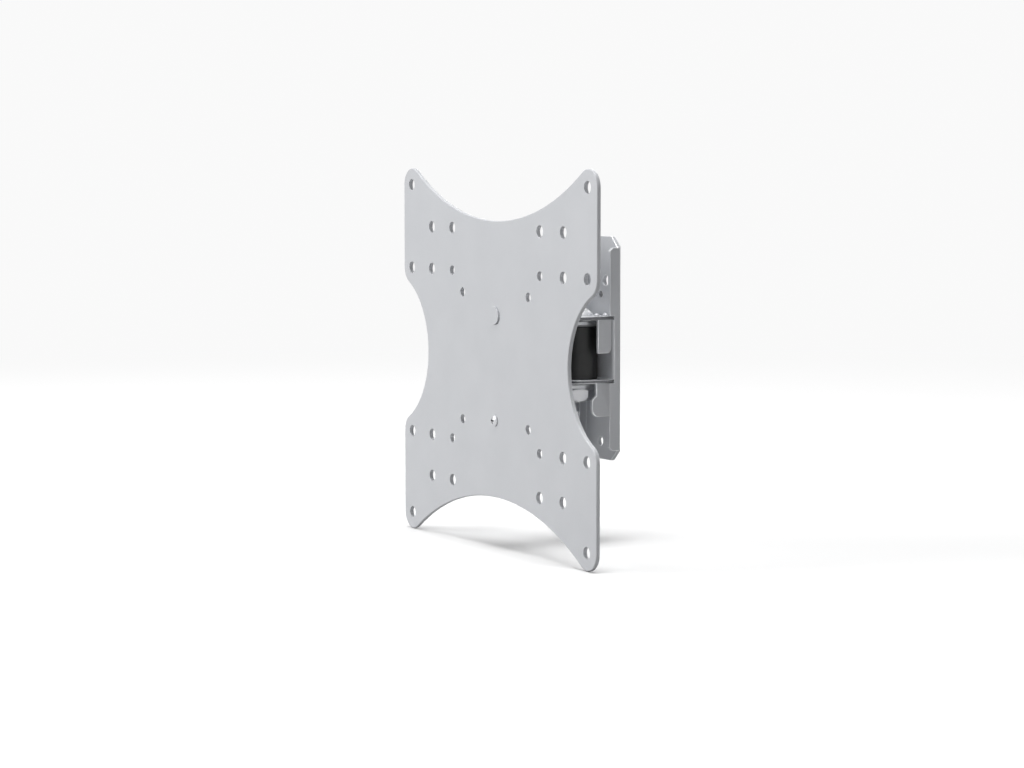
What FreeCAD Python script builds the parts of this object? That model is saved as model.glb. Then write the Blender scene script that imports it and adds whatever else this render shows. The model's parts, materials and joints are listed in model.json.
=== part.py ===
"""Swivelling and tilting monitor wall mount with a waisted screen plate.

Millimetres. The origin is the centre of the wall plate's back face: +X is right seen from the front,
+Y points into the wall and +Z is up, so the screen plate faces -Y.
"""
import FreeCAD, Part
import math
import os

import Sketcher
from FreeCAD import Placement, Rotation, Vector

# Driving sizes, one cell each
SIZES = {
    # folded sheet steel
    "sheet": 2.0,
    "bend_inside": 0.6,
    # wall plate
    "wall_sheet": 2.5,
    "wall_bend_outside": 1.0,
    "wall_width": 36.0,
    "wall_height": 132.0,
    "wall_corner_cut": 6.5,
    "flange_depth": 7.6,
    "flange_corner_cut": 1.9,
    "upper_screw_hole": 6.4,
    "upper_screw_spacing": 11.0,
    "upper_screw_height": 40.0,
    "lower_screw_hole": 5.6,
    "lower_screw_drop": 55.3,
    "centre_hole": 4.0,
    "centre_hole_height": 31.7,
    # clevis let into the flanges
    "clevis_height": 39.2,
    "clevis_seat": 4.5,
    "notch_play": 0.2,
    "wing_drop": 19.6,
    "upper_wing_front": 15.9,
    "upper_wing_gap": 0.2,
    "lower_wing_front": 19.8,
    "lower_wing_gap": 0.1,
    "neck_drop": 7.1,
    "neck_cut": 2.8,
    "wing_back_round": 3.0,
    "wing_front_round": 5.0,
    "pip_width": 3.2,
    "pip_height": 1.8,
    "pip_crown": 0.9,
    "pip_inset": 3.0,
    "pip_gap": 0.8,
    "pip_pitch": 6.1,
    # swivel pivot
    "pivot_bolt_size": 10.0,
    "pivot_head_width": 18.0,
    "pivot_head_height": 5.4,
    "pivot_head_rim": 0.9,
    "pivot_socket": 6.0,
    "pivot_socket_depth": 2.6,
    "pivot_tail": 1.0,
    "sleeve_width": 23.2,
    "sleeve_edge": 0.5,
    "sleeve_gap": 0.5,
    "friction_washer_thick": 0.9,
    "friction_washer_inset": 0.5,
    "upper_bush_flange": 1.0,
    "lower_bush_flange": 0.8,
    "bush_collar_width": 14.0,
    "pivot_washer_thick": 1.2,
    "pivot_washer_width": 20.0,
    "pivot_nut_flats": 17.0,
    "pivot_nut_height": 6.5,
    "pivot_nut_turn": 8.0,
    "pivot_nut_corner_cut": 1.3,
    "pivot_nut_slope": 58.0,
    "nut_corner_cut": 0.8,
    "nut_slope": 30.0,
    # clearances
    "end_play": 0.05,
    "running_play": 0.05,
    "bolt_play": 0.2,
    # yoke between the two pivots
    "yoke_cheek_front": 6.0,
    "yoke_cheek_round": 6.0,
    "stop_margin": 4.0,
    # tilt pivot
    "tilt_bolt_size": 8.0,
    "tilt_bolt_flats": 13.0,
    "tilt_bolt_head": 5.3,
    "tilt_nut_height": 6.5,
    "tilt_tail": 2.5,
    "tilt_washer_thick": 1.6,
    "tilt_washer_inset": 1.5,
    "tilt_friction_thick": 1.0,
    "tilt_friction_width": 19.0,
    "tilt_spacer_width": 13.0,
    "tilt_spacer_gap": 3.5,
    # tilt stops
    "stop_gap": 1.0,
    "stop_angle": 15.5,
    "stop_screw_size": 4.0,
    "stop_head_width": 7.6,
    "stop_head_height": 2.4,
    "stop_head_lift": 0.2,
    "stop_socket": 2.5,
    "stop_socket_depth": 1.3,
    "stop_play": 0.3,
    # small nuts behind the sheet
    "small_nut_flats": 7.0,
    "small_nut_height": 3.2,
    # head bracket
    "head_strip_width": 30.0,
    "head_strip_round": 6.0,
    "head_gap": 4.5,
    "head_top_margin": 2.75,
    "head_low_margin": 6.85,
    "head_cheek_margin": 4.2,
    # screen plate
    "mount_depth": 75.0,
    "plate_drop": 4.35,
    "plate_thick": 2.5,
    "plate_edge": 0.4,
    "grid_large": 200.0,
    "grid_wide": 150.0,
    "grid_middle": 100.0,
    "grid_small": 75.0,
    "lobe_round": 10.0,
    "waist_depth": 30.0,
    "outer_hole": 7.0,
    "inner_hole": 5.5,
    # hook stud and lock screw
    "stud_height": 25.5,
    "stud_head_width": 10.5,
    "stud_head_height": 1.0,
    "stud_neck": 6.0,
    "stud_tail_width": 9.6,
    "stud_tail_thick": 1.6,
    "stud_seat_play": 0.1,
    "keyhole_lift": 9.0,
    "keyhole_play": 0.3,
    "lock_drop": 35.3,
    "lock_size": 4.0,
    "lock_head_width": 6.8,
    "lock_head_height": 1.9,
    "lock_head_rim": 0.6,
    "lock_recess_width": 0.9,
    "lock_recess_length": 3.6,
    "lock_recess_depth": 1.1,
    "lock_tail": 1.0,
}

# Heights of the pivot stack, from the upper clevis ear down
CLEVIS_TOP = "(dim.clevis_height / 2)"
CLEVIS_UNDER = f"({CLEVIS_TOP} - dim.sheet)"
YOKE_TOP = f"({CLEVIS_UNDER} - dim.friction_washer_thick - dim.end_play)"
UPPER_BUSH_UNDER = f"({YOKE_TOP} - dim.sheet - dim.upper_bush_flange)"
SLEEVE_TOP = f"({UPPER_BUSH_UNDER} - dim.end_play)"
LOWER_BUSH_TOP = f"(-{CLEVIS_TOP} - dim.end_play)"
YOKE_BOTTOM = f"({LOWER_BUSH_TOP} - dim.lower_bush_flange - dim.sheet)"
WASHER_TOP = f"({YOKE_BOTTOM} - dim.end_play)"
NUT_TOP = f"({WASHER_TOP} - dim.pivot_washer_thick)"
NUT_BOTTOM = f"({NUT_TOP} - dim.pivot_nut_height)"

# Reach of each piece from the wall
CLEVIS_FRONT = "(dim.clevis_seat + dim.sheet)"
PIVOT_REACH = f"({CLEVIS_FRONT} + dim.sleeve_gap + dim.sleeve_width / 2)"
PLATE_BACK = "(dim.mount_depth - dim.plate_thick)"
HEAD_BACK = f"({PLATE_BACK} - dim.sheet)"
TILT_REACH = f"({HEAD_BACK} - dim.head_gap - dim.yoke_cheek_front)"
YOKE_REACH = f"({TILT_REACH} - dim.tilt_spacer_width / 2 - dim.tilt_spacer_gap)"

# Places shared by several pieces
HALF_WIDTH = "(dim.wall_width / 2)"
FLANGE_END = "(dim.wall_height / 2 - dim.wall_corner_cut)"
BEND_OUTSIDE = "(dim.bend_inside + dim.sheet)"
TILT_HEIGHT = f"(({YOKE_TOP} + {YOKE_BOTTOM}) / 2)"
STOP_RADIUS = "(dim.tilt_friction_width / 2 + dim.stop_gap + dim.stop_screw_size / 2)"
YOKE_CHEEK_HALF = f"({STOP_RADIUS} + dim.stop_margin)"
HEAD_INSIDE = f"({HALF_WIDTH} + dim.tilt_friction_thick + dim.end_play)"
HEAD_OUTSIDE = f"({HEAD_INSIDE} + dim.sheet)"
STOP_SLOT_WIDTH = "(dim.stop_screw_size + 2 * dim.stop_play)"
HEAD_CHEEK_ROUND = f"({STOP_RADIUS} + {STOP_SLOT_WIDTH} / 2 + dim.head_cheek_margin)"
STUD_HEIGHT = "(dim.stud_height - dim.plate_drop)"
LOCK_HEIGHT = "(-dim.lock_drop - dim.plate_drop)"

TOLERANCE = 1e-4
SIDES = {"left": -1, "right": 1}

doc = FreeCAD.newDocument("monitor_wall_mount")
sheet = doc.addObject("Spreadsheet::Sheet", "dim")
for row, (alias, number) in enumerate(SIZES.items(), start=1):
    sheet.set(f"A{row}", alias)
    sheet.set(f"B{row}", str(number))
    sheet.setAlias(f"B{row}", alias)
doc.recompute()


def value(expression):
    """Number that an expression on the sheet gives now."""
    result = sheet.evalExpression(expression)
    return float(getattr(result, "Value", result))


def new_body(label, x="0", y="0", z="0", rotation=None):
    """Empty body whose origin is bound to the given place."""
    body = doc.addObject("PartDesign::Body", label)
    body.Label = label
    body.Placement = Placement(Vector(0, 0, 0), rotation or Rotation())
    for axis, expression in zip("xyz", (x, y, z)):
        body.setExpression(f"Placement.Base.{axis}", expression)
    return body


def new_sketch(body, name, plane, offset="0"):
    """Sketch on one of the body's own planes, moved along the plane's normal."""
    support = next(item for item in body.Origin.OriginFeatures if item.Role == plane)
    sketch = body.newObject("Sketcher::SketchObject", f"{body.Name}_{name}")
    sketch.AttachmentSupport = [(support, "")]
    sketch.MapMode = "FlatFace"
    sketch.setExpression("AttachmentOffset.Base.z", offset)
    return sketch


def bind_point(sketch, geometry, position, across, up, axes="xy"):
    """Hold a point of the sketch at bound distances from the sketch's origin."""
    for axis, kind, expression in (("x", "DistanceX", across), ("y", "DistanceY", up)):
        if axis in axes:
            rule = Sketcher.Constraint(kind, -1, 1, geometry, position, value(expression))
            number = sketch.addConstraint(rule)
            sketch.setExpression(f"Constraints[{number}]", expression)


def add_outline(sketch, points, arcs=None):
    """Closed anticlockwise outline through bound points.

    arcs maps a segment's number to (turn, centre across, centre up, bound axis): turn is 1 for an arc
    that bulges out of the outline and -1 for one that bites into it.
    """
    arcs = arcs or {}
    places = [Vector(value(across), value(up), 0) for across, up in points]
    first = sketch.GeometryCount
    count = len(places)
    ends = []
    for index in range(count):
        start = places[index]
        end = places[(index + 1) % count]
        if index not in arcs:
            sketch.addGeometry(Part.LineSegment(start, end))
            ends.append((1, 2))
            continue
        turn, across, up, axis = arcs[index]
        centre = Vector(value(across), value(up), 0)
        from_point, to_point = (start, end) if turn > 0 else (end, start)
        circle = Part.Circle(centre, Vector(0, 0, 1), (start - centre).Length)
        angles = [math.atan2(spot.y - centre.y, spot.x - centre.x) for spot in (from_point, to_point)]
        sketch.addGeometry(Part.ArcOfCircle(circle, *angles))
        ends.append((1, 2) if turn > 0 else (2, 1))
    for index in range(count):
        following = (index + 1) % count
        sketch.addConstraint(Sketcher.Constraint(
            "Coincident", first + index, ends[index][1], first + following, ends[following][0]))
    for index, (across, up) in enumerate(points):
        bind_point(sketch, first + index, ends[index][0], across, up)
    for index, (turn, across, up, axis) in arcs.items():
        bind_point(sketch, first + index, 3, across, up, axis)


def add_rectangle(sketch, left, right, low, high):
    add_outline(sketch, [(left, low), (right, low), (right, high), (left, high)])


def add_circle(sketch, across, up, diameter):
    centre = Vector(value(across), value(up), 0)
    circle = Part.Circle(centre, Vector(0, 0, 1), value(diameter) / 2)
    number = sketch.addGeometry(circle)
    bind_point(sketch, number, 3, across, up)
    rule = sketch.addConstraint(Sketcher.Constraint("Diameter", number, value(diameter)))
    sketch.setExpression(f"Constraints[{rule}]", diameter)


def add_hexagon(sketch, flats, turn="0"):
    corner = f"({flats} / 2 / cos(30 deg))"
    angles = [f"(({turn} + {60 * step}) * 1 deg)" for step in range(6)]
    add_outline(sketch, [(f"{corner} * cos({angle})", f"{corner} * sin({angle})") for angle in angles])


def pad(sketch, length):
    """Pad along the sketch's normal."""
    body = sketch.getParentGeoFeatureGroup()
    feature = body.newObject("PartDesign::Pad", f"{sketch.Name}_pad")
    feature.Profile = sketch
    feature.setExpression("Length", length)
    doc.recompute()
    return feature


def cut(sketch, depth=None):
    """Pocket right through the body, or to a depth against the sketch's normal."""
    body = sketch.getParentGeoFeatureGroup()
    before = body.Shape.Volume
    feature = body.newObject("PartDesign::Pocket", f"{sketch.Name}_cut")
    feature.Profile = sketch
    if depth is None:
        feature.Type = "ThroughAll"
        feature.Midplane = True
    else:
        feature.setExpression("Length", depth)
    doc.recompute()
    if body.Shape.Volume > before - TOLERANCE:
        raise ValueError(f"{feature.Name} removes nothing")
    return feature


def turn_round(sketch, kind="PartDesign::Revolution"):
    """Full turn about the sketch's upright axis."""
    body = sketch.getParentGeoFeatureGroup()
    feature = body.newObject(kind, f"{sketch.Name}_turn")
    feature.Profile = sketch
    feature.ReferenceAxis = (sketch, ["V_Axis"])
    feature.Angle = 360
    doc.recompute()
    return feature


def edges_along(body, direction, spots):
    """Names of straight edges along a direction that pass through one of the bound spots.

    A spot gives the two bound coordinates across the direction, in x, y, z order.
    """
    others = [axis for axis in range(3) if not direction[axis]]
    targets = [tuple(value(part) for part in spot) for spot in spots]
    names = []
    for number, edge in enumerate(body.Shape.Edges, start=1):
        if edge.Curve.TypeId != "Part::GeomLine":
            continue
        run = edge.Vertexes[-1].Point - edge.Vertexes[0].Point
        if run.cross(Vector(*direction)).Length > TOLERANCE:
            continue
        middle = edge.CenterOfMass - body.Placement.Base
        here = tuple(middle[axis] for axis in others)
        if any(math.dist(here, target) < TOLERANCE for target in targets):
            names.append(f"Edge{number}")
    if not names:
        raise ValueError(f"{body.Name} has no such edge")
    return names


def edges_level(body, axis, places):
    """Names of the edges that lie wholly at one of the bound places along an axis."""
    targets = [value(place) + body.Placement.Base[axis] for place in places]
    names = []
    for number, edge in enumerate(body.Shape.Edges, start=1):
        box = edge.BoundBox
        low = (box.XMin, box.YMin, box.ZMin)[axis]
        high = (box.XMax, box.YMax, box.ZMax)[axis]
        if any(max(abs(low - target), abs(high - target)) < TOLERANCE for target in targets):
            names.append(f"Edge{number}")
    if not names:
        raise ValueError(f"{body.Name} has no edge at that level")
    return names


def bevel_edges(body, name, names, size):
    base = body.Tip
    feature = body.newObject("PartDesign::Chamfer", f"{body.Name}_{name}")
    feature.Base = (base, names)
    feature.setExpression("Size", size)
    doc.recompute()
    return feature


def round_along(body, name, direction, spots, radius):
    """Round the straight edges that run along a direction through the given spots."""
    base = body.Tip
    names = edges_along(body, direction, spots)
    feature = body.newObject("PartDesign::Fillet", f"{body.Name}_{name}")
    feature.Base = (base, names)
    feature.setExpression("Radius", radius)
    doc.recompute()
    return feature


def round_ended(half_width, straight_end, round_centre, towards):
    """Plan of a strip along the second axis: square at one end, half round about a centre at the other.

    towards is 1 where the round end points along the axis and -1 where it points against it.
    """
    if towards < 0:
        points = [(f"-{half_width}", straight_end), (f"-{half_width}", round_centre),
                  (half_width, round_centre), (half_width, straight_end)]
    else:
        points = [(half_width, straight_end), (half_width, round_centre),
                  (f"-{half_width}", round_centre), (f"-{half_width}", straight_end)]
    return points, {1: (1, "0", round_centre, "y")}


def turned(label, profile, arcs=None, y="0", z="0", rotation=None):
    """Round piece: a half section of (radius, height) points turned about its own axis."""
    body = new_body(label, "0", y, z, rotation)
    sketch = new_sketch(body, "section", "XZ_Plane")
    add_outline(sketch, profile, arcs)
    turn_round(sketch)
    return body


def ring_profile(bore, width, low, high):
    return [(f"{bore} / 2", low), (f"{width} / 2", low), (f"{width} / 2", high), (f"{bore} / 2", high)]


def hex_nut(label, flats, height, bore, low, y, z, turn="0", rotation=None, low_end="nut"):
    """Six-sided nut with both ends turned down at the corners; low_end names the low end's sizes."""
    body = new_body(label, "0", y, z, rotation)
    sides = new_sketch(body, "sides", "XY_Plane", low)
    add_hexagon(sides, flats, turn)
    pad(sides, height)
    corner = f"({flats} / 2 / cos(30 deg))"
    high = f"({low} + {height})"
    ends = new_sketch(body, "ends", "XZ_Plane")
    for sizes, end, inwards in ((low_end, low, "+"), ("nut", high, "-")):
        depth = f"dim.{sizes}_corner_cut"
        inner = f"({corner} - {depth})"
        outside = f"({corner} + {depth})"
        drop = f"(2 * {depth} * tan(dim.{sizes}_slope * 1 deg))"
        add_outline(ends, [(inner, end), (outside, end), (outside, f"{end} {inwards} {drop}")])
    turn_round(ends, "PartDesign::Groove")
    hole = new_sketch(body, "hole", "XY_Plane", low)
    add_circle(hole, "0", "0", bore)
    cut(hole)
    return body


def make_wall_plate():
    """Folded channel with cut corners; its flanges are notched for the clevis."""
    body = new_body("wall_plate")
    half_height = "(dim.wall_height / 2)"
    inside = f"({HALF_WIDTH} - dim.wall_sheet)"
    inner_bend = "(dim.bend_inside + dim.wall_sheet)"
    inner_centre = f"({HALF_WIDTH} - {inner_bend})"
    outer_bend = "dim.wall_bend_outside"
    outer_centre = f"({HALF_WIDTH} - {outer_bend})"
    section = new_sketch(body, "section", "XY_Plane", f"-{half_height}")
    add_outline(section, [
        (f"-{HALF_WIDTH}", "-dim.flange_depth"), (f"-{inside}", "-dim.flange_depth"),
        (f"-{inside}", f"-{inner_bend}"), (f"-{inner_centre}", "-dim.wall_sheet"),
        (inner_centre, "-dim.wall_sheet"), (inside, f"-{inner_bend}"),
        (inside, "-dim.flange_depth"), (HALF_WIDTH, "-dim.flange_depth"),
        (HALF_WIDTH, f"-{outer_bend}"), (outer_centre, "0"),
        (f"-{outer_centre}", "0"), (f"-{HALF_WIDTH}", f"-{outer_bend}"),
    ], {
        2: (-1, f"-{inner_centre}", f"-{inner_bend}", "x"),
        4: (-1, inner_centre, f"-{inner_bend}", "x"),
        8: (1, outer_centre, f"-{outer_bend}", "x"),
        10: (1, f"-{outer_centre}", f"-{outer_bend}", "x"),
    })
    pad(section, "dim.wall_height")

    notch = f"({CLEVIS_TOP} + dim.notch_play)"
    inner_end = f"({FLANGE_END} - dim.flange_corner_cut)"
    short_depth = "(dim.flange_depth - dim.flange_corner_cut)"
    clear = "(dim.flange_depth + dim.wall_sheet)"
    flanges = new_sketch(body, "flange_ends", "YZ_Plane")
    for sign in ("", "-"):
        add_outline(flanges, [
            ("-dim.wall_sheet", f"{sign}{FLANGE_END}"), ("-dim.wall_sheet", f"{sign}{half_height}"),
            (f"-{clear}", f"{sign}{half_height}"), (f"-{clear}", f"{sign}{inner_end}"),
            ("-dim.flange_depth", f"{sign}{inner_end}"), (f"-{short_depth}", f"{sign}{FLANGE_END}"),
        ])
    add_rectangle(flanges, f"-{clear}", "-dim.clevis_seat", f"-{notch}", notch)
    cut(flanges)
    shoulder = f"({HALF_WIDTH} - dim.wall_corner_cut)"
    corners = new_sketch(body, "corners", "XZ_Plane")
    for across in ("", "-"):
        for up in ("", "-"):
            add_outline(corners, [
                (f"{across}{HALF_WIDTH}", f"{up}{FLANGE_END}"),
                (f"{across}{HALF_WIDTH}", f"{up}{half_height}"),
                (f"{across}{shoulder}", f"{up}{half_height}"),
            ])
    cut(corners)
    holes = new_sketch(body, "screw_holes", "XZ_Plane")
    for sign in ("", "-"):
        across = f"{sign}dim.upper_screw_spacing / 2"
        add_circle(holes, across, "dim.upper_screw_height", "dim.upper_screw_hole")
    add_circle(holes, "0", "-dim.lower_screw_drop", "dim.lower_screw_hole")
    add_circle(holes, "0", "dim.centre_hole_height", "dim.centre_hole")
    cut(holes)
    return body


def make_clevis():
    """Folded U-bracket: web let into the flanges, two round-ended ears and side wings bent down."""
    body = new_body("clevis")
    web = new_sketch(body, "web", "XZ_Plane", "dim.clevis_seat")
    add_rectangle(web, f"-{HALF_WIDTH}", HALF_WIDTH, f"-{CLEVIS_TOP}", CLEVIS_TOP)
    pad(web, "dim.sheet")
    for name, height in (("upper_ear", CLEVIS_UNDER), ("lower_ear", f"-{CLEVIS_TOP}")):
        ear = new_sketch(body, name, "XY_Plane", height)
        add_outline(ear, *round_ended(HALF_WIDTH, "-dim.clevis_seat", f"-{PIVOT_REACH}", -1))
        pad(ear, "dim.sheet")
    front = f"-{CLEVIS_FRONT}"
    round_along(body, "inside_bends", (1, 0, 0), [(front, CLEVIS_UNDER), (front, f"-{CLEVIS_UNDER}")],
                "dim.bend_inside")
    round_along(body, "outside_bends", (1, 0, 0),
                [("-dim.clevis_seat", CLEVIS_TOP), ("-dim.clevis_seat", f"-{CLEVIS_TOP}")], BEND_OUTSIDE)
    add_wings(body)
    pips = new_sketch(body, "pips", "XY_Plane", CLEVIS_TOP)
    pip_across = f"({HALF_WIDTH} - dim.pip_inset)"
    pip_back = f"({CLEVIS_FRONT} + dim.pip_gap + dim.pip_width / 2)"
    for across in (pip_across, f"-{pip_across}"):
        for reach in (f"-{pip_back}", f"-{pip_back} - dim.pip_pitch"):
            add_circle(pips, across, reach, "dim.pip_width")
    pad(pips, "dim.pip_height")
    crowns = edges_level(body, 2, [f"{CLEVIS_TOP} + dim.pip_height"])
    bevel_edges(body, "pip_crowns", crowns, "dim.pip_crown")
    hole = new_sketch(body, "bolt_hole", "XY_Plane")
    add_circle(hole, "0", f"-{PIVOT_REACH}", "dim.pivot_bolt_size + 2 * dim.bolt_play")
    cut(hole)
    return body


def add_wings(body):
    """Wings bent down from both ears; the lower ones are necked where the yoke's ear swings past."""
    upper_front = "-dim.upper_wing_front"
    upper_back = f"(-{CLEVIS_FRONT} - dim.upper_wing_gap)"
    upper_root = f"({CLEVIS_UNDER} + dim.sheet / 2)"
    upper_tip = f"({CLEVIS_UNDER} - dim.wing_drop)"
    lower_front = "-dim.lower_wing_front"
    lower_back = "(-dim.flange_depth - dim.lower_wing_gap)"
    lower_root = f"(-{CLEVIS_TOP} + dim.sheet / 2)"
    lower_tip = f"(-{CLEVIS_TOP} - dim.wing_drop)"
    neck_front = f"({lower_front} + dim.neck_cut)"
    neck_end = f"(-{CLEVIS_TOP} - dim.neck_drop)"
    for side, sign in SIDES.items():
        start = f"{HALF_WIDTH} - dim.sheet" if sign > 0 else f"-{HALF_WIDTH}"
        wing = new_sketch(body, f"{side}_upper_wing", "YZ_Plane", start)
        add_rectangle(wing, upper_front, upper_back, upper_tip, upper_root)
        pad(wing, "dim.sheet")
        wing = new_sketch(body, f"{side}_lower_wing", "YZ_Plane", start)
        add_outline(wing, [
            (lower_front, lower_tip), (lower_back, lower_tip), (lower_back, lower_root),
            (neck_front, lower_root), (neck_front, neck_end), (lower_front, f"{neck_end} - dim.neck_cut"),
        ])
        pad(wing, "dim.sheet")
    round_along(body, "wing_backs", (1, 0, 0), [(upper_back, upper_tip)], "dim.wing_back_round")
    round_along(body, "wing_fronts", (1, 0, 0), [(lower_front, lower_tip)], "dim.wing_front_round")


def make_pivot():
    """Bolt, sleeve, washers and nut that stay with the clevis."""
    place = f"-{PIVOT_REACH}"
    shank = "(dim.pivot_bolt_size / 2)"
    head = "(dim.pivot_head_width / 2)"
    rim = f"({CLEVIS_TOP} + dim.pivot_head_rim)"
    top = f"({CLEVIS_TOP} + dim.pivot_head_height)"
    dome = "(dim.pivot_head_height - dim.pivot_head_rim)"
    dome_centre = f"({top} - ({head} ^ 2 + {dome} ^ 2) / (2 * {dome}))"
    tail = f"({NUT_BOTTOM} - dim.pivot_tail)"
    bolt = turned(
        "pivot_bolt",
        [("0", tail), (shank, tail), (shank, CLEVIS_TOP), (head, CLEVIS_TOP), (head, rim), ("0", top)],
        {4: (1, "0", dome_centre, "x")}, place)
    socket = new_sketch(bolt, "socket", "XY_Plane", top)
    add_hexagon(socket, "dim.pivot_socket")
    cut(socket, "dim.pivot_socket_depth")

    bore = "(dim.pivot_bolt_size + 2 * dim.bolt_play)"
    low = f"-{CLEVIS_UNDER}"
    wall = "(dim.sleeve_width / 2)"
    turned("pivot_sleeve", [
        (f"{bore} / 2", low), (f"{wall} - dim.sleeve_edge", low), (wall, f"{low} + dim.sleeve_edge"),
        (wall, f"{SLEEVE_TOP} - dim.sleeve_edge"), (f"{wall} - dim.sleeve_edge", SLEEVE_TOP),
        (f"{bore} / 2", SLEEVE_TOP),
    ], None, place)
    washer_width = "(dim.sleeve_width - 2 * dim.friction_washer_inset)"
    washer_under = f"{CLEVIS_UNDER} - dim.friction_washer_thick"
    turned("upper_friction_washer", ring_profile(bore, washer_width, washer_under, CLEVIS_UNDER), None, place)
    turned("pivot_washer", ring_profile(bore, "dim.pivot_washer_width", NUT_TOP, WASHER_TOP), None, place)
    hex_nut("pivot_nut", "dim.pivot_nut_flats", "dim.pivot_nut_height", "dim.pivot_bolt_size", NUT_BOTTOM,
            place, "0", "dim.pivot_nut_turn", None, "pivot_nut")


def make_yoke():
    """Cross-shaped blank folded back into two ears and forward into two cheeks."""
    body = new_body("yoke")
    strip = "(dim.sleeve_width / 2)"
    front = f"-{YOKE_REACH}"
    back = f"(-{YOKE_REACH} + dim.sheet)"
    cheek_top = f"({TILT_HEIGHT} + {YOKE_CHEEK_HALF})"
    cheek_bottom = f"({TILT_HEIGHT} - {YOKE_CHEEK_HALF})"
    web = new_sketch(body, "web", "XZ_Plane", f"-{back}")
    add_outline(web, [
        (f"-{strip}", YOKE_BOTTOM), (strip, YOKE_BOTTOM), (strip, cheek_bottom), (HALF_WIDTH, cheek_bottom),
        (HALF_WIDTH, cheek_top), (strip, cheek_top), (strip, YOKE_TOP), (f"-{strip}", YOKE_TOP),
        (f"-{strip}", cheek_top), (f"-{HALF_WIDTH}", cheek_top), (f"-{HALF_WIDTH}", cheek_bottom),
        (f"-{strip}", cheek_bottom),
    ])
    pad(web, "dim.sheet")
    for name, height in (("upper_ear", f"{YOKE_TOP} - dim.sheet"), ("lower_ear", YOKE_BOTTOM)):
        ear = new_sketch(body, name, "XY_Plane", height)
        add_outline(ear, *round_ended(strip, front, f"-{PIVOT_REACH}", 1))
        pad(ear, "dim.sheet")
    cheek_front = f"(-{TILT_REACH} - dim.yoke_cheek_front)"
    for side, sign in SIDES.items():
        start = f"{HALF_WIDTH} - dim.sheet" if sign > 0 else f"-{HALF_WIDTH}"
        cheek = new_sketch(body, f"{side}_cheek", "YZ_Plane", start)
        add_rectangle(cheek, cheek_front, back, cheek_bottom, cheek_top)
        pad(cheek, "dim.sheet")
    inside = f"({HALF_WIDTH} - dim.sheet)"
    round_along(body, "ear_insides", (1, 0, 0),
                [(back, f"{YOKE_TOP} - dim.sheet"), (back, f"{YOKE_BOTTOM} + dim.sheet")], "dim.bend_inside")
    round_along(body, "ear_outsides", (1, 0, 0), [(front, YOKE_TOP), (front, YOKE_BOTTOM)], BEND_OUTSIDE)
    round_along(body, "cheek_insides", (0, 0, 1), [(inside, front), (f"-{inside}", front)], "dim.bend_inside")
    round_along(body, "cheek_outsides", (0, 0, 1), [(HALF_WIDTH, back), (f"-{HALF_WIDTH}", back)],
                BEND_OUTSIDE)
    round_along(body, "cheek_corners", (1, 0, 0), [(cheek_front, cheek_top), (cheek_front, cheek_bottom)],
                "dim.yoke_cheek_round")
    collars = new_sketch(body, "collar_holes", "XY_Plane")
    add_circle(collars, "0", f"-{PIVOT_REACH}", "dim.bush_collar_width")
    cut(collars)
    holes = new_sketch(body, "tilt_holes", "YZ_Plane")
    add_circle(holes, f"-{TILT_REACH}", TILT_HEIGHT, "dim.tilt_bolt_size + 2 * dim.running_play")
    add_circle(holes, f"-{TILT_REACH}", f"{TILT_HEIGHT} - {STOP_RADIUS}", "dim.stop_screw_size")
    cut(holes)
    return body


def make_bushes():
    """Flanged bushes pressed into the yoke's ears."""
    place = f"-{PIVOT_REACH}"
    bore = "(dim.pivot_bolt_size / 2 + dim.running_play)"
    flange = "(dim.sleeve_width / 2)"
    collar = "(dim.bush_collar_width / 2)"
    seat = f"({YOKE_TOP} - dim.sheet)"
    turned("upper_bush", [
        (bore, UPPER_BUSH_UNDER), (flange, UPPER_BUSH_UNDER), (flange, seat), (collar, seat),
        (collar, YOKE_TOP), (bore, YOKE_TOP),
    ], None, place)
    seat = f"({LOWER_BUSH_TOP} - dim.lower_bush_flange)"
    turned("lower_bush", [
        (bore, YOKE_BOTTOM), (collar, YOKE_BOTTOM), (collar, seat), (flange, seat),
        (flange, LOWER_BUSH_TOP), (bore, LOWER_BUSH_TOP),
    ], None, place)


def outwards(sign):
    """Turn that lays a piece's own axis along X, pointing away from the middle."""
    return Rotation(Vector(0, 1, 0), 90 * sign)


def make_tilt_pivot():
    """Bolt along X through both pairs of cheeks, with its washers, spacer and nut."""
    place = f"-{TILT_REACH}"
    bore = "(dim.tilt_bolt_size + 2 * dim.bolt_play)"
    half_gap = f"({HALF_WIDTH} - dim.sheet)"
    turned("tilt_spacer", ring_profile(bore, "dim.tilt_spacer_width", f"-{half_gap}", half_gap), None,
           place, TILT_HEIGHT, outwards(1))
    washer_end = f"({HEAD_OUTSIDE} + dim.tilt_washer_thick)"
    washer_width = "(dim.tilt_friction_width - 2 * dim.tilt_washer_inset)"
    for side, sign in SIDES.items():
        turned(f"{side}_tilt_friction_washer",
               ring_profile(bore, "dim.tilt_friction_width", f"{HEAD_INSIDE} - dim.tilt_friction_thick",
                            HEAD_INSIDE), None, place, TILT_HEIGHT, outwards(sign))
        turned(f"{side}_tilt_washer", ring_profile(bore, washer_width, HEAD_OUTSIDE, washer_end),
               None, place, TILT_HEIGHT, outwards(sign))
    bolt = new_body("tilt_bolt", "0", place, TILT_HEIGHT, outwards(1))
    tail = f"(-{washer_end} - dim.tilt_nut_height - dim.tilt_tail)"
    shank = new_sketch(bolt, "shank", "XY_Plane", tail)
    add_circle(shank, "0", "0", "dim.tilt_bolt_size")
    pad(shank, f"{washer_end} - {tail}")
    head = new_sketch(bolt, "head", "XY_Plane", washer_end)
    add_hexagon(head, "dim.tilt_bolt_flats")
    pad(head, "dim.tilt_bolt_head")
    hex_nut("tilt_nut", "dim.tilt_bolt_flats", "dim.tilt_nut_height", "dim.tilt_bolt_size", washer_end,
            place, TILT_HEIGHT, "0", outwards(-1))


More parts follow.
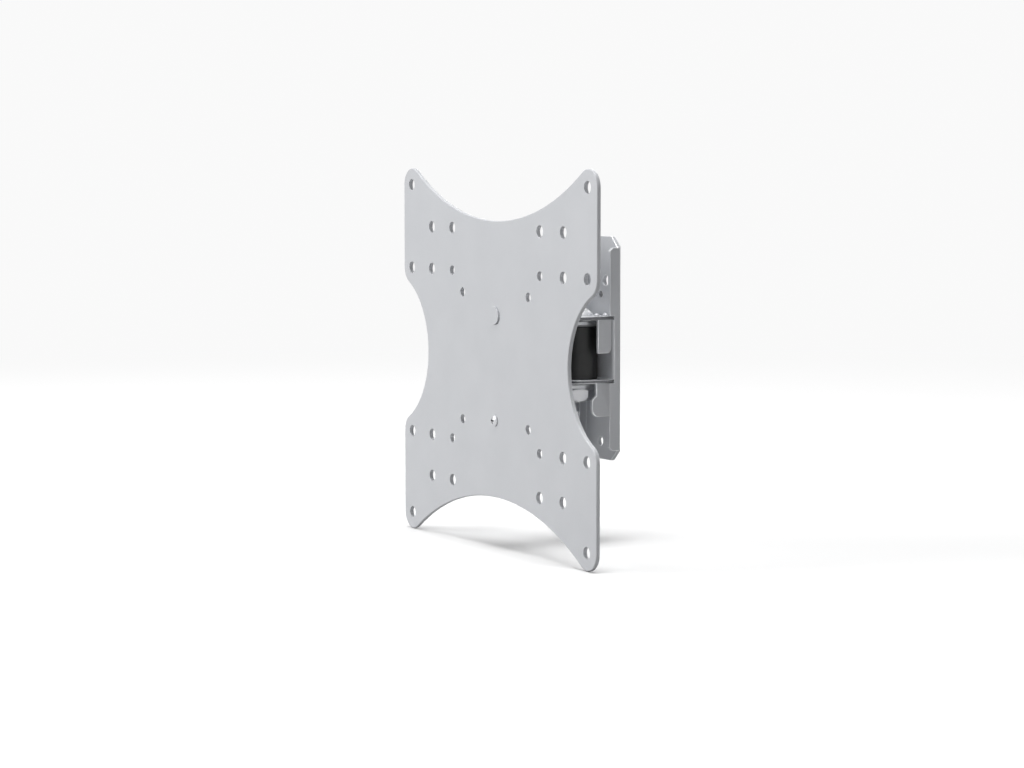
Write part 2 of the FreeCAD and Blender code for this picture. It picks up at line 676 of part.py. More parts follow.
def make_tilt_stops():
    """Screws fixed in the yoke's cheeks, running in the head bracket's arc slots."""
    place = f"-{TILT_REACH}"
    height = f"({TILT_HEIGHT} - {STOP_RADIUS})"
    shank = "(dim.stop_screw_size / 2)"
    head = "(dim.stop_head_width / 2)"
    inner = f"({HALF_WIDTH} - dim.sheet - dim.small_nut_height)"
    seat = f"({HEAD_OUTSIDE} + dim.stop_head_lift)"
    top = f"({seat} + dim.stop_head_height)"
    dome_centre = f"({top} - ({head} ^ 2 + dim.stop_head_height ^ 2) / (2 * dim.stop_head_height))"
    for side, sign in SIDES.items():
        screw = turned(
            f"{side}_tilt_stop_screw",
            [("0", inner), (shank, inner), (shank, seat), (head, seat), ("0", top)],
            {3: (1, "0", dome_centre, "x")}, place, height, outwards(sign))
        socket = new_sketch(screw, "socket", "XY_Plane", top)
        add_hexagon(socket, "dim.stop_socket")
        cut(socket, "dim.stop_socket_depth")
        hex_nut(f"{side}_tilt_stop_nut", "dim.small_nut_flats", "dim.small_nut_height", "dim.stop_screw_size",
                inner, place, height, "0", outwards(sign))


def make_head_bracket():
    """Strip behind the screen plate with two cheeks folded back to the tilt bolt."""
    body = new_body("head_bracket")
    strip = "(dim.head_strip_width / 2)"
    cheek_top = f"({TILT_HEIGHT} + {HEAD_CHEEK_ROUND})"
    cheek_bottom = f"({TILT_HEIGHT} - {HEAD_CHEEK_ROUND})"
    entry = f"({STUD_HEIGHT} + dim.keyhole_lift)"
    entry_width = "(dim.stud_tail_width + 2 * dim.keyhole_play)"
    high = f"({entry} + {entry_width} / 2 + dim.head_top_margin)"
    low = f"({LOCK_HEIGHT} - dim.head_low_margin)"
    base = new_sketch(body, "base", "XZ_Plane", HEAD_BACK)
    add_outline(base, [
        (f"-{strip}", low), (strip, low), (strip, cheek_bottom), (HEAD_OUTSIDE, cheek_bottom),
        (HEAD_OUTSIDE, cheek_top), (strip, cheek_top), (strip, high), (f"-{strip}", high),
        (f"-{strip}", cheek_top), (f"-{HEAD_OUTSIDE}", cheek_top), (f"-{HEAD_OUTSIDE}", cheek_bottom),
        (f"-{strip}", cheek_bottom),
    ])
    pad(base, "dim.sheet")
    for side, sign in SIDES.items():
        start = HEAD_INSIDE if sign > 0 else f"-{HEAD_OUTSIDE}"
        cheek = new_sketch(body, f"{side}_cheek", "YZ_Plane", start)
        add_outline(cheek, [
            (f"-{PLATE_BACK}", cheek_bottom), (f"-{TILT_REACH}", cheek_bottom),
            (f"-{TILT_REACH}", cheek_top), (f"-{PLATE_BACK}", cheek_top),
        ], {1: (1, f"-{TILT_REACH}", TILT_HEIGHT, "x")})
        pad(cheek, "dim.sheet")
    round_along(body, "inside_bends", (0, 0, 1),
                [(HEAD_INSIDE, f"-{HEAD_BACK}"), (f"-{HEAD_INSIDE}", f"-{HEAD_BACK}")], "dim.bend_inside")
    round_along(body, "outside_bends", (0, 0, 1),
                [(HEAD_OUTSIDE, f"-{PLATE_BACK}"), (f"-{HEAD_OUTSIDE}", f"-{PLATE_BACK}")], BEND_OUTSIDE)
    round_along(body, "strip_corners", (0, 1, 0),
                [(strip, high), (f"-{strip}", high), (strip, low), (f"-{strip}", low)],
                "dim.head_strip_round")

    holes = new_sketch(body, "keyhole_entry", "XZ_Plane")
    add_circle(holes, "0", entry, entry_width)
    add_circle(holes, "0", LOCK_HEIGHT, "dim.lock_size + 2 * dim.bolt_play")
    cut(holes)
    slot = new_sketch(body, "keyhole_slot", "XZ_Plane")
    half_slot = "(dim.stud_neck / 2 + dim.bolt_play)"
    add_outline(slot, *round_ended(half_slot, entry, STUD_HEIGHT, -1))
    cut(slot)
    bolt_holes = new_sketch(body, "tilt_holes", "YZ_Plane")
    add_circle(bolt_holes, f"-{TILT_REACH}", TILT_HEIGHT, "dim.tilt_bolt_size + 2 * dim.bolt_play")
    cut(bolt_holes)
    add_stop_slots(body)
    return body


def add_stop_slots(body):
    """Arc slots about the tilt axis, one sketch through both cheeks."""
    sketch = new_sketch(body, "stop_slots", "YZ_Plane")
    swing_across = "sin(dim.stop_angle * 1 deg)"
    swing_up = "cos(dim.stop_angle * 1 deg)"
    outer = f"({STOP_RADIUS} + {STOP_SLOT_WIDTH} / 2)"
    inner = f"({STOP_RADIUS} - {STOP_SLOT_WIDTH} / 2)"

    def spot(radius, sign):
        return (f"-{TILT_REACH} {sign} {radius} * {swing_across}", f"{TILT_HEIGHT} - {radius} * {swing_up}")

    axis_place = (f"-{TILT_REACH}", TILT_HEIGHT)
    add_outline(sketch, [spot(outer, "-"), spot(outer, "+"), spot(inner, "+"), spot(inner, "-")], {
        0: (1, *axis_place, "y"),
        1: (1, *spot(STOP_RADIUS, "+"), "x"),
        2: (-1, *axis_place, "y"),
        3: (1, *spot(STOP_RADIUS, "-"), "x"),
    })
    cut(sketch)


def waist_radius(half_span):
    """Radius of a waist that is tangent to the lobes at both ends of a side."""
    inset = "(dim.waist_depth - dim.lobe_round)"
    return f"(({half_span} ^ 2 + {inset} ^ 2 - dim.lobe_round ^ 2) / (2 * dim.waist_depth))"


def make_screen_plate():
    """Waisted plate with lobes round its outer holes and seven screw grids."""
    body = new_body("screen_plate", "0", f"-{PLATE_BACK}", "-dim.plate_drop")
    edge = "(dim.grid_large / 2 + dim.lobe_round)"
    waist = f"({edge} - dim.waist_depth)"
    end_radius = waist_radius("(dim.grid_large / 2)")
    side_radius = waist_radius("(dim.grid_middle / 2)")
    end_centre = f"({waist} + {end_radius})"
    side_centre = f"({waist} + {side_radius})"
    corner_up = f"({end_centre} - sqrt({end_radius} ^ 2 - {edge} ^ 2))"
    side_up = f"sqrt({side_radius} ^ 2 - ({side_centre} - {edge}) ^ 2)"
    outline = new_sketch(body, "outline", "XZ_Plane")
    corners = [
        (edge, f"-{corner_up}"), (edge, f"-{side_up}"), (edge, side_up), (edge, corner_up),
        (f"-{edge}", corner_up), (f"-{edge}", side_up), (f"-{edge}", f"-{side_up}"),
        (f"-{edge}", f"-{corner_up}"),
    ]
    add_outline(outline, corners, {
        1: (-1, side_centre, "0", "x"),
        3: (-1, "0", end_centre, "y"),
        5: (-1, f"-{side_centre}", "0", "x"),
        7: (-1, "0", f"-{end_centre}", "y"),
    })
    pad(outline, "dim.plate_thick")
    round_along(body, "lobes", (0, 1, 0), corners, "dim.lobe_round")
    bevel_edges(body, "rims", edges_level(body, 1, ["0", "-dim.plate_thick"]), "dim.plate_edge")

    holes = new_sketch(body, "holes", "XZ_Plane")
    large, wide, middle, small = ("dim.grid_large", "dim.grid_wide", "dim.grid_middle", "dim.grid_small")
    grids = (
        (large, large, "dim.outer_hole"), (large, middle, "dim.outer_hole"), (wide, wide, "dim.outer_hole"),
        (wide, middle, "dim.outer_hole"), (middle, wide, "dim.outer_hole"),
        (middle, middle, "dim.inner_hole"), (small, small, "dim.inner_hole"),
    )
    for across, up, diameter in grids:
        for across_sign in ("", "-"):
            for up_sign in ("", "-"):
                add_circle(holes, f"{across_sign}{across} / 2", f"{up_sign}{up} / 2", diameter)
    cut(holes)
    fixings = new_sketch(body, "fixings", "XZ_Plane")
    add_circle(fixings, "0", "dim.stud_height", "dim.stud_neck")
    add_circle(fixings, "0", "-dim.lock_drop", "dim.lock_size + 2 * dim.bolt_play")
    cut(fixings)
    return body


def make_plate_fixings():
    """Hook stud riveted in the screen plate, and the lock screw with its nut."""
    forwards = Rotation(Vector(1, 0, 0), 90)
    place = "-dim.mount_depth"
    neck = "(dim.stud_neck / 2)"
    head = "(dim.stud_head_width / 2)"
    tail = "(dim.stud_tail_width / 2)"
    seat = "(-dim.plate_thick - dim.sheet - dim.stud_seat_play)"
    end = f"({seat} - dim.stud_tail_thick)"
    turned("hook_stud", [
        ("0", end), (tail, end), (tail, seat), (neck, seat), (neck, "0"), (head, "0"),
        (head, "dim.stud_head_height"), ("0", "dim.stud_head_height"),
    ], None, place, STUD_HEIGHT, forwards)

    shank = "(dim.lock_size / 2)"
    head = "(dim.lock_head_width / 2)"
    top = "dim.lock_head_height"
    dome = "(dim.lock_head_height - dim.lock_head_rim)"
    dome_centre = f"({top} - ({head} ^ 2 + {dome} ^ 2) / (2 * {dome}))"
    nut_low = "(-dim.plate_thick - dim.sheet - dim.small_nut_height)"
    tip = f"({nut_low} - dim.lock_tail)"
    screw = turned(
        "lock_screw",
        [("0", tip), (shank, tip), (shank, "0"), (head, "0"), (head, "dim.lock_head_rim"), ("0", top)],
        {4: (1, "0", dome_centre, "x")}, place, LOCK_HEIGHT, forwards)
    recess = new_sketch(screw, "recess", "XY_Plane", top)
    arm = "(dim.lock_recess_length / 2)"
    rib = "(dim.lock_recess_width / 2)"
    add_outline(recess, [
        (f"-{rib}", f"-{arm}"), (rib, f"-{arm}"), (rib, f"-{rib}"), (arm, f"-{rib}"), (arm, rib), (rib, rib),
        (rib, arm), (f"-{rib}", arm), (f"-{rib}", rib), (f"-{arm}", rib), (f"-{arm}", f"-{rib}"),
        (f"-{rib}", f"-{rib}"),
    ])
    cut(recess, "dim.lock_recess_depth")
    hex_nut("lock_nut", "dim.small_nut_flats", "dim.small_nut_height", "dim.lock_size", nut_low, place,
            LOCK_HEIGHT, "0", forwards)


def write_parts():
    """Stop on any failed object, then write one file for each body."""
    doc.recompute()
    failed = [item.Name for item in doc.Objects if {"Invalid", "Error"} & set(item.State)]
    if failed:
        raise RuntimeError(f"failed objects: {failed}")
    bodies = doc.findObjects("PartDesign::Body")
    for body in bodies:
        if body.Shape.isNull() or not body.Shape.isValid() or len(body.Shape.Solids) != 1:
            raise RuntimeError(f"{body.Label} is not one valid solid")
    os.makedirs("parts", exist_ok=True)
    for body in bodies:
        body.Shape.exportStep(f"parts/{body.Label}.step")


make_wall_plate()
make_clevis()
make_pivot()
make_yoke()
make_bushes()
make_tilt_pivot()
make_tilt_stops()
make_head_bracket()
make_screen_plate()
make_plate_fixings()
write_parts()
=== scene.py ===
"""Looks of the monitor wall mount: silver paint, plated steel, a moulded sleeve and its fixings."""
import json
import math

import bmesh
import bpy
from mathutils import Matrix, Vector


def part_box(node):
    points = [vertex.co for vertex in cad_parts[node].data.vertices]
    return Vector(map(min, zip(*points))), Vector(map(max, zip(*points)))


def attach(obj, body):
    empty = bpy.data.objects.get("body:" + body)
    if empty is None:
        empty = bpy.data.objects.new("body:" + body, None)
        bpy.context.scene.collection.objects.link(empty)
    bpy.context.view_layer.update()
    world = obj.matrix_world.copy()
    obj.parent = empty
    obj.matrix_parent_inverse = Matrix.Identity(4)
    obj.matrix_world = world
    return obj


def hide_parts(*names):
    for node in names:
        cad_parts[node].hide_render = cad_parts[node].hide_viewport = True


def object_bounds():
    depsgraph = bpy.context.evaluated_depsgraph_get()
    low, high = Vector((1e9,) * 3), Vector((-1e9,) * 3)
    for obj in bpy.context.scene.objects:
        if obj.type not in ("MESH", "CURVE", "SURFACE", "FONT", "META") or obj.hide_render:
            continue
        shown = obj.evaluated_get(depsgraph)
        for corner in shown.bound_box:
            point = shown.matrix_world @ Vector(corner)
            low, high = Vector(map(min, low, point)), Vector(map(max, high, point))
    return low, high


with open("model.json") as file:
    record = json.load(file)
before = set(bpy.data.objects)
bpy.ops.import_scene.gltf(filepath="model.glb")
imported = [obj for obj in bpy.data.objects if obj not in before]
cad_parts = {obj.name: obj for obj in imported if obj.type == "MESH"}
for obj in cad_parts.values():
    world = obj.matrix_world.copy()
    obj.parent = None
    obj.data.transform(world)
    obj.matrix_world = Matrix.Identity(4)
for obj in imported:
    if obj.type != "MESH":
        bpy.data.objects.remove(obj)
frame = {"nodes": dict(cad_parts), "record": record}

CAD_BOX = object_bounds()
MM = 0.001
scene = bpy.context.scene
scene.view_settings.view_transform = "Standard"


# Nodes of the materials

def add_node(tree, kind, inputs, **settings):
    """New node with its settings; each input is linked to a socket or given a value."""
    made = tree.nodes.new(kind)
    for key, setting in settings.items():
        setattr(made, key, setting)
    for socket, given in inputs.items():
        if isinstance(given, bpy.types.NodeSocket):
            tree.links.new(given, made.inputs[socket])
        else:
            made.inputs[socket].default_value = given
    return made


class Finish:
    """Node material with a principled shader and patterns on Object coordinates."""

    def __init__(self, name, **values):
        self.material = bpy.data.materials.new(name)
        self.material.use_nodes = True
        self.tree = self.material.node_tree
        self.shader = self.tree.nodes["Principled BSDF"]
        for socket, number in values.items():
            self.shader.inputs[socket].default_value = number
        self.place = self.add("ShaderNodeTexCoord", {}).outputs["Object"]

    def add(self, kind, inputs, **settings):
        return add_node(self.tree, kind, inputs, **settings)

    def join(self, output, socket):
        self.tree.links.new(output, self.shader.inputs[socket])

    def noise(self, scale, detail=2.0, stretch=(1, 1, 1)):
        """Noise with the given number of cells in a metre, drawn out along an axis where stretch is small."""
        mapping = self.add("ShaderNodeMapping", {"Vector": self.place, "Scale": stretch})
        return self.add("ShaderNodeTexNoise", {
            "Vector": mapping.outputs["Vector"], "Scale": scale, "Detail": detail,
        }).outputs["Fac"]

    def ramp(self, factor, stops):
        """Colour that runs from the first stop's to the second's, each a place and a colour."""
        made = self.add("ShaderNodeValToRGB", {"Fac": factor})
        for point, (spot, colour) in zip(made.color_ramp.elements, stops):
            point.position = spot
            point.color = (*colour, 1.0)
        return made.outputs["Color"]

    def span(self, factor, low, high, start=0.0, end=1.0):
        """Value that runs from low to high while the factor runs from start to end."""
        return self.add("ShaderNodeMapRange", {
            "Value": factor, "From Min": start, "From Max": end, "To Min": low, "To Max": high,
        }).outputs["Result"]

    def worn_edge(self, reach, scale):
        """Share of wear: close to outside edges, broken up by noise."""
        near = self.add(
            "ShaderNodeAmbientOcclusion", {"Distance": reach}, inside=True, only_local=True, samples=6)
        bare = self.span(near.outputs["AO"], 1.0, 0.0, start=0.35, end=0.75)
        patches = self.span(self.noise(scale, detail=3.0), 0.0, 1.0, start=0.48, end=0.66)
        return self.add("ShaderNodeMath", {0: bare, 1: patches}, operation="MULTIPLY").outputs["Value"]

    def mix_colour(self, factor, first, second):
        """Mix of two colours, each a plain one or a node's output."""
        made = self.add("ShaderNodeMix", {"Factor": factor}, data_type="RGBA")
        colours = {item.name: item for item in made.inputs if item.type == "RGBA"}
        for name, given in (("A", first), ("B", second)):
            if isinstance(given, bpy.types.NodeSocket):
                self.tree.links.new(given, colours[name])
            else:
                colours[name].default_value = (*given, 1.0)
        return next(item for item in made.outputs if item.type == "RGBA")

    def bump(self, *layers):
        """Stack of bumps, each a height, a strength and a depth in metres."""
        below = {}
        for height, strength, depth in layers:
            made = self.add(
                "ShaderNodeBump", {"Height": height, "Strength": strength, "Distance": depth, **below})
            below = {"Normal": made.outputs["Normal"]}
        self.join(below["Normal"], "Normal")


# Finishes

def silver_paint():
    """Satin silver stoving paint: fine peel, faint clouding and sparks of flake."""
    deep = (0.575, 0.588, 0.612)
    pale = (0.600, 0.612, 0.636)
    flake = (0.69, 0.70, 0.72)
    finish = Finish("silver_paint_finish", Metallic=0.15, IOR=1.5)
    tone = finish.ramp(finish.noise(38, detail=3.0), [(0.30, deep), (0.70, pale)])
    sparks = finish.span(finish.noise(5200, detail=1.0), 0.0, 0.32, start=0.52, end=0.72)
    peel = finish.noise(1150)
    grit = finish.noise(3600, detail=1.0)
    finish.join(finish.mix_colour(sparks, tone, flake), "Base Color")
    finish.join(finish.span(finish.noise(160), 0.40, 0.50), "Roughness")
    finish.bump((peel, 0.16, 0.05 * MM), (grit, 0.10, 0.02 * MM))
    return finish.material


def rubbed_edge():
    """Painted highlight on the eased edges of the painted sheet: a lighter, more metallic coat than the
    paint, with noise for rubbed patches of bright metal.
    """
    # Both colours are lighter than the paint: a painted highlight along the edges, mixed by noise with rubbed
    # wear
    coated = (0.68, 0.69, 0.71)
    bare = (0.80, 0.805, 0.815)
    finish = Finish("edge_highlight_and_wear_finish", IOR=1.5)
    highlight_and_wear_mix = finish.span(finish.noise(260), 0.0, 1.0, start=0.35, end=0.65)
    finish.join(finish.mix_colour(highlight_and_wear_mix, coated, bare), "Base Color")
    finish.join(finish.span(highlight_and_wear_mix, 0.40, 0.70), "Metallic")
    finish.join(finish.span(highlight_and_wear_mix, 0.38, 0.30), "Roughness")
    return finish.material


def sheared_steel():
    """Painted shade and dark reflection: very dark steel with upright shear marks, on the clevis's cut edges
    and in the screws' recesses.
    """
    # Far darker than steel's own colour: the dark stands in for shade and dark reflections
    dark = (0.085, 0.088, 0.095)
    light = (0.150, 0.153, 0.160)
    upright = (1.0, 1.0, 0.06)
    finish = Finish("painted_shade_steel_finish", Metallic=1.0)
    marks = finish.noise(1900, detail=3.0, stretch=upright)
    finish.join(finish.ramp(marks, [(0.30, dark), (0.70, light)]), "Base Color")
    finish.join(finish.span(marks, 0.30, 0.42, start=0.35, end=0.65), "Roughness")
    finish.bump((marks, 0.10, 0.02 * MM))
    return finish.material


def plated_steel():
    """Zinc-plated steel with rolling marks drawn out up the sheet."""
    deep = (0.56, 0.575, 0.60)
    pale = (0.66, 0.67, 0.685)
    rolled = (0.50, 0.51, 0.53)
    upright = (1.0, 1.0, 0.04)
    finish = Finish("plated_steel_finish", Metallic=0.50)
    grain = finish.noise(900, detail=3.0, stretch=upright)
    tone = finish.ramp(finish.noise(70), [(0.32, deep), (0.68, pale)])
    lines = finish.span(grain, 0.0, 0.35, start=0.4, end=0.7)
    finish.join(finish.mix_colour(lines, tone, rolled), "Base Color")
    finish.join(finish.span(grain, 0.28, 0.42, start=0.35, end=0.65), "Roughness")
    finish.bump((grain, 0.16, 0.02 * MM))
    return finish.material


def bright_steel():
    """Bright zinc plating with fine handling marks."""
    deep = (0.85, 0.86, 0.875)
    pale = (0.91, 0.915, 0.92)
    drawn_out = (1.0, 0.25, 0.25)
    finish = Finish("bright_steel_finish", Metallic=0.40)
    marks = finish.noise(1400, stretch=drawn_out)
    finish.join(finish.ramp(finish.noise(210), [(0.30, deep), (0.70, pale)]), "Base Color")
    finish.join(finish.span(marks, 0.24, 0.29, start=0.4, end=0.75), "Roughness")
    return finish.material


def zinc_nut():
    """Passivated zinc on nuts and screws: soft grey metal, slightly cloudy, scuffed by the spanner."""
    deep = (0.53, 0.54, 0.56)
    pale = (0.57, 0.575, 0.59)
    scuffed = (0.68, 0.685, 0.69)
    level = (0.2, 0.2, 1.0)
    finish = Finish("zinc_nut_finish", Metallic=0.8)
    scuffs = finish.noise(1300, detail=3.0, stretch=level)
    tone = finish.ramp(finish.noise(160), [(0.30, deep), (0.70, pale)])
    rubbed = finish.span(scuffs, 0.0, 0.35, start=0.58, end=0.74)
    finish.join(finish.mix_colour(rubbed, tone, scuffed), "Base Color")
    finish.join(finish.span(scuffs, 0.30, 0.40, start=0.35, end=0.7), "Roughness")
    finish.bump((scuffs, 0.05, 0.01 * MM))
    return finish.material


def black_sleeve():
    """Black moulded plastic: fine spark texture and rubbed rims."""
    deep = (0.016, 0.0165, 0.0165)
    pale = (0.022, 0.0225, 0.0225)
    rubbed = (0.06, 0.06, 0.062)
    finish = Finish("black_sleeve_finish", IOR=1.42)
    tone = finish.ramp(finish.noise(130, detail=3.0), [(0.3, deep), (0.7, pale)])
    wear = finish.span(finish.worn_edge(0.7 * MM, 600), 0.0, 0.5)
    finish.join(finish.mix_colour(wear, tone, rubbed), "Base Color")
    finish.join(finish.span(finish.noise(900), 0.38, 0.52), "Roughness")
    finish.bump((finish.noise(2100), 0.22, 0.03 * MM))
    return finish.material


def grey_nylon():
    """Natural grey nylon, slightly mottled, with a fine moulded grain."""
    deep = (0.33, 0.335, 0.34)
    pale = (0.43, 0.435, 0.44)
    finish = Finish("grey_nylon_finish", IOR=1.53)
    finish.join(finish.ramp(finish.noise(300, detail=3.0), [(0.3, deep), (0.7, pale)]), "Base Color")
    finish.join(finish.span(finish.noise(700), 0.42, 0.58), "Roughness")
    finish.bump((finish.noise(2600, detail=1.0), 0.15, 0.02 * MM))
    return finish.material


FINISHES = {
    "silver_paint": silver_paint(),
    "rubbed_edge": rubbed_edge(),
    "sheared_steel": sheared_steel(),
    "plated_steel": plated_steel(),
    "bright_steel": bright_steel(),
    "zinc_nut": zinc_nut(),
    "black_sleeve": black_sleeve(),
    "grey_nylon": grey_nylon(),
}
NODE_SLOT = {item["node"]: item["material_slot"] for item in frame["record"]["subparts"]}
NODE_BODY = {
    node: body
    for body, members in frame["record"]["behaviour"]["bodies"].items()
    for node in members
}


# Sizes of the dressed pieces

JOIN_REACH = 1e-6
CUT_REACH = 1e-7
FLAT_ANGLE = math.radians(0.4)
SHARP_ANGLE = math.radians(32)
NUT_ANGLE = math.radians(12)

EAR_THICK = 2.0 * MM
EAR_EDGE = 0.12 * MM
WING_EDGE = 0.5 * MM
WALL_MARGIN = 1.0 * MM
BEND_STEP = 0.4 * MM

TAIL_STEP = 0.05 * MM
THREAD_ROOT = 0.86
THREAD_SUNK = 0.98
THREAD_BASE = 0.8
THREAD_CREST = (0.35, 0.45)
THREAD_STEPS = 28
RECESS_DEPTH = 0.3 * MM

# Limits on a face's normal, as shares of its length along an axis
UPRIGHT = 0.2
SIDEWAYS = 0.9
RECESS_WALL = 0.5
RECESS_INWARD = -0.2
RECESS_FLAT = 0.995

# Places in a piece's list of finishes; BESIDE takes that of the faces next to an edge. The strip and recess
# places hold the painted shade
BESIDE = -1
EDGE_FINISH = 1
STRIP_SHADE = 2
RECESS_SHADE = 1

# Widths of the eased edges in millimetres
PLAIN = {
    "screen_plate": 0.10, "hook_stud": 0.20, "tilt_spacer": 0.20,
    "pivot_washer": 0.15, "left_tilt_washer": 0.15, "right_tilt_washer": 0.15,
    "pivot_sleeve": 0.15, "upper_bush": 0.12, "lower_bush": 0.12, "upper_friction_washer": 0.12,
    "left_tilt_friction_washer": 0.12, "right_tilt_friction_washer": 0.12,
}
NUTS = {
    "pivot_nut": 0.10, "tilt_nut": 0.10, "lock_nut": 0.10,
    "left_tilt_stop_nut": 0.10, "right_tilt_stop_nut": 0.10,
}

# Nut, axis, width of the eased edges and pitch in millimetres, and finish; no thread shows at pitch nought
SCREWS = {
    "pivot_bolt": ("pivot_nut", "z", 0.15, 1.0, "bright_steel"),
    "tilt_bolt": ("tilt_nut", "x", 0.15, 1.25, "zinc_nut"),
    "lock_screw": ("lock_nut", "y", 0.03, 0.7, "zinc_nut"),
    "left_tilt_stop_screw": ("left_tilt_stop_nut", "x", 0.08, 0.0, "zinc_nut"),
    "right_tilt_stop_screw": ("right_tilt_stop_nut", "x", 0.08, 0.0, "zinc_nut"),
}

# Width of the eased edges in millimetres, and their finish; on the painted sheets that finish is a painted
# highlight with rubbed patches
FOLDED = {
    "wall_plate": (0.22, "rubbed_edge"),
    "head_bracket": (0.40, "rubbed_edge"),
    "yoke": (0.12, "plated_steel"),
}


# Pieces

def add_piece(name, shape, node, *finishes):
    """Object for a finished shape that rides with a node's body and takes the given finishes."""
    mesh = bpy.data.meshes.new(name)
    shape.to_mesh(mesh)
    shape.free()
    for finish in finishes:
        mesh.materials.append(FINISHES[finish])
    piece = bpy.data.objects.new(name, mesh)
    scene.collection.objects.link(piece)
    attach(piece, NODE_BODY[node])
    return piece


def dress_node(node, shape, *finishes):
    """Piece that stands for a CAD node, from a shape made of it."""
    piece = add_piece(f"{node}_dressed", shape, node, *finishes)
    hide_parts(node)
    return piece


def joined_copy(node):
    """CAD node's shape with its triangles joined up and its flats merged."""
    shape = bmesh.new()
    shape.from_mesh(frame["nodes"][node].data)
    bmesh.ops.remove_doubles(shape, verts=shape.verts, dist=JOIN_REACH)
    bmesh.ops.dissolve_limit(shape, angle_limit=FLAT_ANGLE, verts=shape.verts, edges=shape.edges)
    for face in shape.faces:
        face.smooth = True
        face.material_index = 0
    return shape


def cut_across(shape, spot, normal):
    """New edges where a plane through the spot crosses the shape."""
    parts = shape.verts[:] + shape.edges[:] + shape.faces[:]
    bmesh.ops.bisect_plane(shape, geom=parts, dist=CUT_REACH, plane_co=spot, plane_no=normal)


def ease_edges(piece, width, finish=BESIDE, angle=SHARP_ANGLE, limit="ANGLE"):
    """Small rounding of the sharp or weighted edges, as folding, tumbling and paint leave them."""
    rounding = piece.modifiers.new("eased_edges", "BEVEL")
    rounding.limit_method = limit
    rounding.angle_limit = angle
    rounding.width = width
    rounding.segments = 3
    rounding.profile = 0.5
    rounding.material = finish
    rounding.use_clamp_overlap = False
    rounding.loop_slide = False
    flats = piece.modifiers.new("true_flats", "WEIGHTED_NORMAL")
    flats.mode = "FACE_AREA"
    flats.weight = 100


def weigh_edges(mesh, weight_of):
    """Bevel weight on each sharp edge."""
    shape = bmesh.new()
    shape.from_mesh(mesh)
    layer = shape.edges.layers.float.new("bevel_weight_edge")
    for edge in shape.edges:
        if len(edge.link_faces) == 2 and edge.calc_face_angle() > SHARP_ANGLE:
            edge[layer] = weight_of(edge)
    shape.to_mesh(mesh)
    shape.free()


def finish_plain(node, edge, finish, angle=SHARP_ANGLE):
    """Dressed copy of a CAD node with its edges eased."""
    piece = dress_node(node, joined_copy(node), finish)
    ease_edges(piece, edge, angle=angle)


def finish_folded(node, edge, edge_finish):
    """Dressed copy of a folded sheet piece: its outline eased, the short edges in its bends left sharp."""
    piece = dress_node(node, joined_copy(node), NODE_SLOT[node], edge_finish)
    weigh_edges(piece.data, lambda item: float(item.calc_length() > BEND_STEP))
    # The eased edges take the edge finish: on the painted sheets a painted highlight, on the yoke its own
    # plating
    ease_edges(piece, edge, EDGE_FINISH, limit="WEIGHT")


def finish_clevis():
    """Clevis with the cut edges of its folded strip in dark steel, a painted shade and dark reflection,
    between the painted wings; its eased edges take the painted highlight.
    """
    ear_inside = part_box("upper_friction_washer")[1].z
    ear_outside = ear_inside + EAR_THICK
    sleeve_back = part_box("pivot_sleeve")[1].y
    wall_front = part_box("wall_plate")[0].y
    shape = joined_copy("clevis")
    for level in (ear_inside, -ear_inside, -ear_outside):
        cut_across(shape, (0, 0, level), (0, 0, 1))
    piece = dress_node("clevis", shape, NODE_SLOT["clevis"], "rubbed_edge", "sheared_steel")

    def cut_edge(face):
        height = abs(face.center.z)
        on_ear = ear_inside < height < ear_outside
        on_web = height < ear_inside and face.center.y > sleeve_back and abs(face.normal.x) > SIDEWAYS
        return abs(face.normal.z) < UPRIGHT and (on_ear or on_web)

    def edge_weight(edge):
        place = (edge.verts[0].co + edge.verts[1].co) / 2
        if place.y > wall_front - WALL_MARGIN:
            return 0.0
        on_wing = abs(place.z) < ear_inside or place.z < -ear_outside
        return 1.0 if on_wing else EAR_EDGE / WING_EDGE

    # The cut edges of the ears and web take the dark steel: painted shade and dark reflection
    for face in piece.data.polygons:
        if cut_edge(face):
            face.material_index = STRIP_SHADE
    weigh_edges(piece.data, edge_weight)
    ease_edges(piece, WING_EDGE, EDGE_FINISH, limit="WEIGHT")


def cut_down_tail(shape, face, along):
    """Step a bolt's shank down to the root of its thread beyond the nut's face; gives the two radii."""
    step_end = face + along * TAIL_STEP
    cut_across(shape, face, along)
    cut_across(shape, step_end, along)

    def from_axis(vert):
        offset = vert.co - face
        return offset - along * offset.dot(along)

    beyond = [vert for vert in shape.verts if (vert.co - step_end).dot(along) > -JOIN_REACH]
    major = max(from_axis(vert).length for vert in beyond)
    for vert in beyond:
        vert.co -= from_axis(vert) * (1 - THREAD_ROOT)
    return major * THREAD_ROOT, major


def add_thread(node, finish, start, along, length, pitch, root, major):
    """Helical ridge round a shank, wound along its axis from a start point."""
    out = along.orthogonal().normalized()
    foot = root * THREAD_SUNK
    crest_start, crest_end = THREAD_CREST
    profile = ((0.0, foot), (THREAD_BASE, foot), (crest_end, major), (crest_start, major))
    shape = bmesh.new()
    corners = [shape.verts.new(start + along * (place * pitch) + out * radius) for place, radius in profile]
    section = shape.faces.new(corners)
    turns = length / pitch - THREAD_BASE
    steps = int(turns * THREAD_STEPS)
    bmesh.ops.spin(
        shape, geom=[section, *section.edges, *section.verts], cent=start, axis=along,
        dvec=along * (pitch * turns / steps), angle=math.tau * turns, steps=steps, use_merge=False)
    bmesh.ops.recalc_face_normals(shape, faces=shape.faces)
    add_piece(f"{node}_thread", shape, node, finish)


